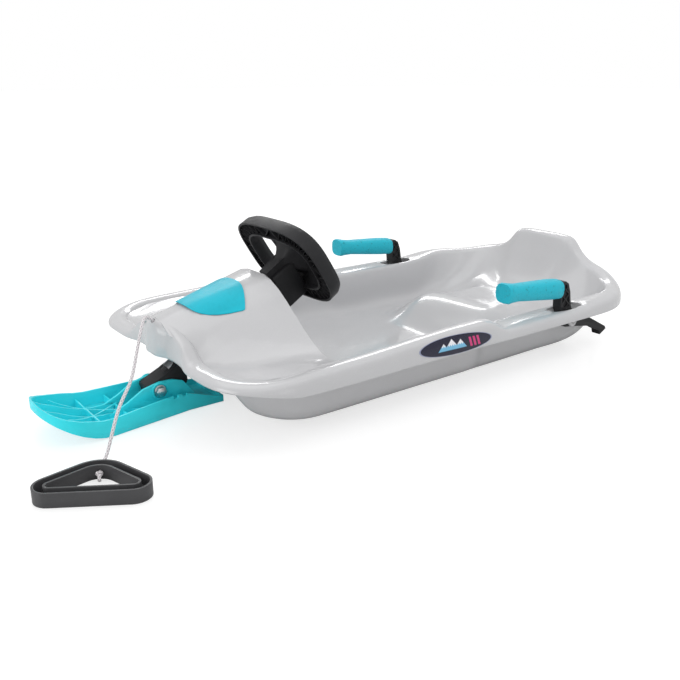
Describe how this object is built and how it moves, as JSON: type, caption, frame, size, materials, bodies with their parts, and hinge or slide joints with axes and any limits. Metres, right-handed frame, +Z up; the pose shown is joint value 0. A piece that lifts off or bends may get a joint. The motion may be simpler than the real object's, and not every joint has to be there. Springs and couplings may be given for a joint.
{
  "type": "plastic bobsled with steering ski",
  "caption": "Moulded plastic child's bobsled with a bonnet, steering wheel and column, pivoting front ski, hand brake levers with claws, and a tow rope with handle.",
  "frame": {"origin": "on the ground, at the middle of the sled's box without its rope and tow handle", "axes": "+X to the bow, +Y to the sled's left side, +Z up"},
  "size_m": [1.0908, 0.4864, 0.2484],
  "materials": {
    "hull_plastic": "glossy moulded",
    "aqua_plastic": "satin moulded",
    "aqua_grip": "stippled",
    "black_plastic": "satin moulded",
    "handle_plastic": "satin moulded",
    "rope": "braided",
    "steel": "zinc plated"
  },
  "bodies": {
    "root": {"hull": "hull_plastic", "bonnet": "hull_plastic", "bonnet_panel": "aqua_plastic", "brake_pin_left": "steel", "brake_pin_right": "steel", "tow_rope": "rope", "rope_knot_bow": "rope", "rope_knot_handle": "rope", "tow_handle": "handle_plastic"},
    "steering": {"steering_wheel": "black_plastic", "steering_column": "steel", "ski_bracket": "black_plastic"},
    "ski": {"ski": "aqua_plastic", "ski_bolt": "steel"},
    "brake_left": {"brake_lever_left": "black_plastic", "brake_grip_left": "aqua_grip"},
    "brake_right": {"brake_lever_right": "black_plastic", "brake_grip_right": "aqua_grip"}
  },
  "joints": [
    {"name": "steering", "type": "hinge", "parent": "root", "child": "steering", "pos_m": [0.1, 0, 0.195], "axis": [-0.848, 0, 0.5299], "range_deg": [-20, 20]},
    {"name": "ski_pitch", "type": "hinge", "parent": "steering", "child": "ski", "pos_m": [0.347, 0, 0.031], "axis": [0, -1, 0], "range_deg": [-4, 8]},
    {"name": "brake_left", "type": "hinge", "parent": "root", "child": "brake_left", "pos_m": [-0.296, 0.212, 0.066], "axis": [0, -1, 0], "range_deg": [0, 24]},
    {"name": "brake_right", "type": "hinge", "parent": "root", "child": "brake_right", "pos_m": [-0.296, -0.212, 0.066], "axis": [0, -1, 0], "range_deg": [0, 24]}
  ]
}
